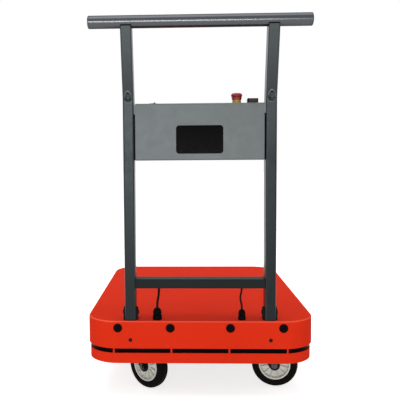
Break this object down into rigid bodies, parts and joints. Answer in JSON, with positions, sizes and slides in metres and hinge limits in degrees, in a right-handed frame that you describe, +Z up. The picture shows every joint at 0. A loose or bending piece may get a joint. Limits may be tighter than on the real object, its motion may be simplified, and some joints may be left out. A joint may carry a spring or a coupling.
{
  "type": "autonomous mobile robot",
  "caption": "Low autonomous mobile robot with a rounded deck, swivel casters, driven wheels and a push handle that carries a control box with a display and a stop button.",
  "frame": {"origin": "on the floor, under the middle of the overall box", "axes": "+Z up, +Y the way it drives (the handle stands at -Y), +X to the right seen from the handle"},
  "size_m": [0.6, 0.8426, 0.9809],
  "materials": {
    "red_paint": "satin",
    "grey_paint": "satin",
    "box_paint": "satin",
    "chassis_paint": "matte",
    "black_steel": "satin",
    "zinc_steel": "satin",
    "black_plastic": "matte",
    "black_gloss": "gloss",
    "hub_plastic": "satin",
    "black_rubber": "matte",
    "tyre_rubber": "matte",
    "cast_alloy": "satin",
    "stop_red": "gloss",
    "stop_yellow": "satin",
    "rocker_red": "satin",
    "case_grey": "matte",
    "board_green": "satin"
  },
  "bodies": {
    "body": {"top_cover": "red_paint", "lower_skirt_left": "red_paint", "lower_skirt_right": "red_paint", "slot_window": "black_gloss", "sonar_sensors": "black_plastic", "panel_screws": "black_steel", "chassis_crossmembers": "chassis_paint", "deck_pads": "black_rubber", "chassis_tray": "chassis_paint", "battery_pack": "case_grey", "motor_controller": "cast_alloy", "main_computer": "cast_alloy", "power_board": "board_green", "lidar_base": "black_plastic", "caster_bolts": "zinc_steel", "handlebar": "grey_paint", "handlebar_caps": "black_plastic", "cross_brace": "grey_paint", "bracket_bolts": "black_steel", "control_box": "box_paint", "control_box_cover": "box_paint", "display_screen": "black_gloss", "stop_collar": "stop_yellow", "stop_block": "black_plastic", "power_switch_frame": "black_plastic", "light_switch_frame": "black_plastic", "gland_left": "black_plastic", "gland_right": "black_plastic", "lead_grommets": "black_rubber", "lead_left": "black_rubber", "lead_right": "black_rubber", "chassis_rail_left": "chassis_paint", "chassis_rail_right": "chassis_paint", "upright_left": "grey_paint", "upright_right": "grey_paint", "handle_bracket_left": "black_steel", "handle_bracket_right": "black_steel", "caster_plate_left": "zinc_steel", "caster_plate_right": "zinc_steel", "drive_bracket_left": "black_steel", "drive_bracket_right": "black_steel", "drive_axle_left": "zinc_steel", "drive_axle_right": "zinc_steel"},
    "caster_swivel_left": {"caster_fork_left": "black_steel", "caster_axle_left": "zinc_steel"},
    "caster_wheel_left": {"caster_hub_left": "hub_plastic", "caster_tyre_left": "tyre_rubber"},
    "drive_wheel_left": {"drive_hub_left": "cast_alloy", "drive_tyre_left": "tyre_rubber"},
    "caster_swivel_right": {"caster_fork_right": "black_steel", "caster_axle_right": "zinc_steel"},
    "caster_wheel_right": {"caster_hub_right": "hub_plastic", "caster_tyre_right": "tyre_rubber"},
    "drive_wheel_right": {"drive_hub_right": "cast_alloy", "drive_tyre_right": "tyre_rubber"},
    "lidar_head": {"lidar_head": "black_gloss"},
    "stop_button": {"stop_stem": "zinc_steel"},
    "stop_mushroom": {"stop_head": "stop_red"},
    "power_rocker": {"power_rocker": "black_plastic"},
    "light_rocker": {"light_rocker": "rocker_red"}
  },
  "joints": [
    {"name": "caster_swivel_left", "type": "hinge", "parent": "body", "child": "caster_swivel_left", "pos_m": [-0.17, -0.25903, 0.138], "axis": [0, 0, 1], "continuous": true},
    {"name": "caster_roll_left", "type": "hinge", "parent": "caster_swivel_left", "child": "caster_wheel_left", "pos_m": [-0.14012, -0.2841, 0.0625], "axis": [0.6428, 0.766, 0], "continuous": true},
    {"name": "drive_roll_left", "type": "hinge", "parent": "body", "child": "drive_wheel_left", "pos_m": [-0.237, 0.21397, 0.0825], "axis": [1, 0, 0], "continuous": true},
    {"name": "caster_swivel_right", "type": "hinge", "parent": "body", "child": "caster_swivel_right", "pos_m": [0.17, -0.25903, 0.138], "axis": [0, 0, 1], "continuous": true},
    {"name": "caster_roll_right", "type": "hinge", "parent": "caster_swivel_right", "child": "caster_wheel_right", "pos_m": [0.20841, -0.26581, 0.0625], "axis": [0.1736, 0.9848, 0], "continuous": true},
    {"name": "drive_roll_right", "type": "hinge", "parent": "body", "child": "drive_wheel_right", "pos_m": [0.237, 0.21397, 0.0825], "axis": [1, 0, 0], "continuous": true},
    {"name": "lidar_spin", "type": "hinge", "parent": "body", "child": "lidar_head", "pos_m": [0, 0.36297, 0.1215], "axis": [0, 0, 1], "continuous": true},
    {"name": "stop_press", "type": "slide", "parent": "body", "child": "stop_button", "axis": [0, 0, -1], "range_m": [0, 0.004], "stiffness_N_per_m": 2000, "springref_m": -0.001},
    {"name": "stop_twist", "type": "hinge", "parent": "stop_button", "child": "stop_mushroom", "pos_m": [0.0955, -0.34753, 0.788], "axis": [0, 0, -1], "range_deg": [0, 45], "stiffness_Nm_per_rad": 0.05, "springref_deg": -5.73},
    {"name": "power_toggle", "type": "hinge", "parent": "body", "child": "power_rocker", "pos_m": [-0.1182, -0.34753, 0.7656], "axis": [0, 1, 0], "range_deg": [0, 24]},
    {"name": "light_toggle", "type": "hinge", "parent": "body", "child": "light_rocker", "pos_m": [0.136, -0.34753, 0.7654], "axis": [1, 0, 0], "range_deg": [0, 16]}
  ]
}
